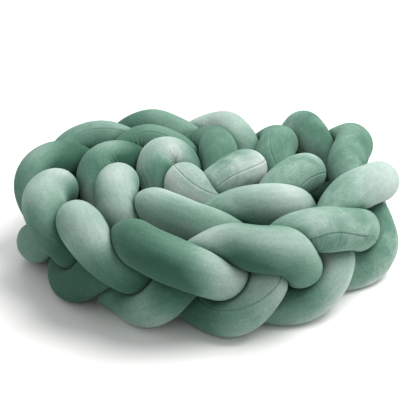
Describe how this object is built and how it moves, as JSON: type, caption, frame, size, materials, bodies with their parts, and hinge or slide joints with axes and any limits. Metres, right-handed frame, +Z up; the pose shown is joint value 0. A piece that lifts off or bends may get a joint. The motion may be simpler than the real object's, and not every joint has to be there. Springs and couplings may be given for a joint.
{
  "type": "braided crib bumper",
  "caption": "Long plait of stuffed velour tubes, stood on edge and coiled into a nest, that pads the sides of a crib or cushions a baby nest.",
  "frame": {"origin": "middle of the nest's footprint, on the surface it rests on", "axes": "+Z up, +X across the nest to the right as seen from the front, -Y towards the front"},
  "size_m": [0.6367, 0.6223, 0.1774],
  "materials": {
    "velour": "soft short-pile velour with a sheen at the edges"
  },
  "bodies": {
    "root": {"stuffed_tube_1": "velour", "stuffed_tube_2": "velour", "stuffed_tube_3": "velour"}
  },
  "joints": []
}
